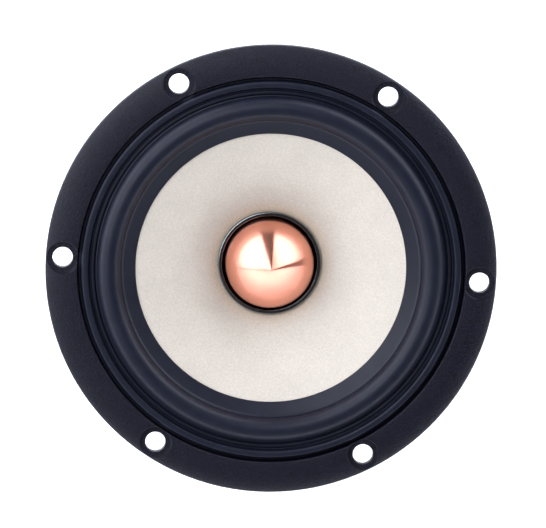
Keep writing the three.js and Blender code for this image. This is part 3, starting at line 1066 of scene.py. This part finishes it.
SIDES = {"positive": 1, "negative": -1}
BOARD_MIDDLE = (low("terminal_board", "z") + high("terminal_board", "z")) / 2
RIVET_Z = BOARD_MIDDLE + 1.5
LUG_THICKNESS = 0.8
LEAD_RADIUS = 0.6
LEAD_ROUTE = [
    (7.5, -47.3, 42.4),
    (7.5, -45.6, 42.5),
    (7.5, -43.2, 41.2),
    (7.4, -39.5, 38.6),
    (7.2, -35.5, 36.6),
    (6.8, -31.2, 35.6),
    (6.2, -26.8, 35.7),
    (5.3, -22.4, 36.6),
    (4.3, -18.4, 37.6),
    (3.5, -14.9, 38.0),
]


def facing_board(piece, x, y, z):
    """Turns a piece made along +Z to point out of the terminal board, at -Y, and moves it there."""
    return placed(piece, x=x, y=y, z=z, facing="front_board")


def add_board():
    half_width = high("terminal_board", "x")
    half_height = (high("terminal_board", "z") - low("terminal_board", "z")) / 2
    thickness = BOARD_BACK - BOARD_FACE
    signs = [(1, 1), (-1, 1), (-1, -1), (1, -1)]
    corners = [(across * half_width, up * half_height, 1.2) for across, up in signs]
    board = prism("board", rounded(corners), 0, thickness)
    cutters = [prism("hole", circle(1.8), -1, thickness + 1)]
    for side in SIDES.values():
        hole = prism("hole", circle(1.3), -1, thickness + 1)
        cutters.append(placed(hole, x=side * LUG_X, y=RIVET_Z - BOARD_MIDDLE))
    board = bevelled(boolean(board, "DIFFERENCE", cutters), 0.15)
    stands_for(finished(facing_board(board, 0, BOARD_BACK, BOARD_MIDDLE), phenolic_board()), "terminal_board")


def add_board_screw():
    """A pan head with a cross recess."""
    length = high("terminal_board_screw", "y") - BOARD_FACE
    head = high("terminal_board_screw", "x")
    height = BOARD_FACE - low("terminal_board_screw", "y")
    shank = [(0, -length), (0.9, -length), (1.3, -length + 0.6), (1.3, 0)]
    outline = rounded([*shank, (head, 0, 0.1), (head, height, 0.9), (0, height)])
    screw = turned("board_screw", outline, SMALL_STEPS)
    slots = []
    for along, across in ((1.5, 0.28), (0.28, 1.5)):
        corners = [(along, across), (-along, across), (-along, -across), (along, -across)]
        slots.append(prism("slot", corners, height - 1.0, height + 1))
    screw = boolean(screw, "DIFFERENCE", slots)
    screw = facing_board(screw, 0, BOARD_FACE, BOARD_MIDDLE)
    stands_for(finished(screw, screw_zinc()), "terminal_board_screw")


def solder_blob(name, radius, height):
    """A smooth mound of solder on a flat face, pointing along +Z."""
    outline = [(0, 0), (radius, 0)]
    for k in range(1, 13):
        angle = k / 12 * math.pi / 2
        outline.append((radius * math.cos(angle) ** 0.8, height * math.sin(angle) ** 1.2))
    outline[-1] = (0, height)
    return finished(turned(name, outline, 32), solder())


def add_terminal(name, side, brass):
    node = f"terminal_{name}"
    tab = 2.4
    blade = 2.4 if name == "positive" else 1.4
    top = high(node, "z") - BOARD_MIDDLE
    shoulder = low("terminal_board", "z") + 1 - BOARD_MIDDLE
    bottom = low(node, "z") - BOARD_MIDDLE
    taper = 0.7
    outline = rounded(
        [
            (tab, top, 0.8),
            (-tab, top, 0.8),
            (-tab, shoulder, 0.3),
            (-blade, shoulder - 0.01, 0.004) if blade == tab else (-blade, shoulder, 0.2),
            (-blade, bottom + taper, 0.2),
            (-blade + taper, bottom, 0.2),
            (blade - taper, bottom, 0.2),
            (blade, bottom + taper, 0.2),
            (blade, shoulder - 0.01, 0.004) if blade == tab else (blade, shoulder, 0.2),
            (tab, shoulder, 0.3),
        ]
    )
    lug = prism("lug", outline, 0, LUG_THICKNESS)
    cutters = [
        placed(prism("hole", circle(1.3), -1, LUG_THICKNESS + 1), y=RIVET_Z - BOARD_MIDDLE),
        placed(prism("hole", circle(0.65), -1, LUG_THICKNESS + 1), y=bottom + 3.2),
    ]
    lug = bevelled(boolean(lug, "DIFFERENCE", cutters), 0.1, 2)
    finished(facing_board(lug, side * LUG_X, BOARD_FACE, BOARD_MIDDLE), brass)
    mound = solder_blob("mound", 1.3, 0.7)
    facing_board(mound, side * LUG_X, BOARD_FACE - LUG_THICKNESS + 0.05, LEAD_ROUTE[0][2])
    stands_for(joined(node, [lug, mound]), node)


def add_rivet(name, side, brass):
    """A hollow rivet with rolled heads on the lug and behind the board."""
    node = f"terminal_rivet_{name}"
    front = BOARD_BACK - low(node, "y")
    back = BOARD_BACK - high(node, "y")
    lug_face = BOARD_BACK - BOARD_FACE + LUG_THICKNESS
    outline = rounded(
        [
            (0.6, back, 0.2),
            (1.9, back, 0.25),
            (1.9, 0, 0.1),
            (1.1, 0),
            (1.1, lug_face),
            (1.9, lug_face, 0.1),
            (1.9, front, 0.3),
            (0.6, front, 0.3),
        ]
    )
    rivet = turned("rivet", outline, SMALL_STEPS)
    stands_for(finished(facing_board(rivet, side * LUG_X, BOARD_BACK, RIVET_Z), brass), node)


def smooth_path(points, steps):
    """A curve through the points (Catmull-Rom, with its pace set by the square root of each chord)."""
    points = [Vector(p) for p in points]
    points = [points[0] * 2 - points[1], *points, points[-1] * 2 - points[-2]]
    path = []
    for i in range(1, len(points) - 2):
        p = points[i - 1 : i + 3]
        t = [0.0]
        for a, b in zip(p, p[1:]):
            t.append(t[-1] + math.sqrt((b - a).length))
        for k in range(steps):
            now = t[1] + (t[2] - t[1]) * k / steps
            a = [p[j].lerp(p[j + 1], (now - t[j]) / (t[j + 1] - t[j])) for j in range(3)]
            b = [a[j].lerp(a[j + 1], (now - t[j]) / (t[j + 2] - t[j])) for j in range(2)]
            path.append(b[0].lerp(b[1], (now - t[1]) / (t[2] - t[1])))
    path.append(points[-2])
    return path


def add_lead(name, side, wire):
    """Eight strands braided round each other: four turn one way and four the other, over and under."""
    path = smooth_path([(side * x, y, z) for x, y, z in LEAD_ROUTE], 14)
    strand = 0.13
    braid = LEAD_RADIUS - strand - 0.06
    pitch = 3.2
    travelled = [0.0]
    for a, b in zip(path, path[1:]):
        travelled.append(travelled[-1] + (b - a).length)
    strands = []
    for number in range(8):
        direction = 1 if number % 2 else -1
        start = math.pi / 2 * (number // 2)
        centres = []
        for i, point in enumerate(path):
            ahead = path[min(i + 1, len(path) - 1)] - path[max(i - 1, 0)]
            sideways = ahead.cross(Vector((0, 0, 1))).normalized()
            upwards = sideways.cross(ahead).normalized()
            turn = start + direction * 2 * math.pi * travelled[i] / pitch
            reach = braid + 0.05 * math.cos(4 * turn) * direction
            centres.append(point + sideways * reach * math.cos(turn) + upwards * reach * math.sin(turn))
        sections = []
        for i, centre in enumerate(centres):
            ahead = (centres[min(i + 1, len(centres) - 1)] - centres[max(i - 1, 0)]).normalized()
            sideways = ahead.cross(Vector((0, 0, 1))).normalized()
            upwards = sideways.cross(ahead)
            ring = [centre + sideways * x + upwards * y for x, y in circle(strand, 6)]
            sections.append(ring)
        strands.append(finished(lofted("strand", sections), wire))
    lead = joined("lead", strands)
    stands_for(lead, f"tinsel_lead_{name}", rides=False)
    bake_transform(lead)


def add_former_pad(name, side):
    """A solder pad on the former, with the mound that holds the lead's end."""
    node = f"former_pad_{name}"
    middle = (low(node, "z") + high(node, "z")) / 2
    angle = -90 + side * 13.2
    half = 1.3
    corners = [(half, half), (-half, half), (-half, -half), (half, -half)]
    pad = prism("pad", rounded([(x, y, 0.3) for x, y in corners]), 0, 0.35)
    mound = placed(solder_blob("mound", 1.15, 0.8), z=0.3)
    pad = joined("pad", [finished(bevelled(pad, 0.06, 2), solder()), mound])
    stand = Matrix.Rotation(math.radians(90), 4, "Y")
    pad.data.transform(stand)
    placed(pad, x=NECK_RADIUS + 0.12, z=middle, turn=angle)
    stands_for(pad, node)


def add_terminals():
    brass = terminal_brass()
    wire = tinsel_wire()
    add_board()
    add_board_screw()
    for name, side in SIDES.items():
        add_terminal(name, side, brass)
        add_rivet(name, side, brass)
        add_lead(name, side, wire)
        add_former_pad(name, side)


add_terminals()


bpy.context.scene.view_settings.view_transform = "Standard"
bpy.context.scene.view_settings.look = "None"
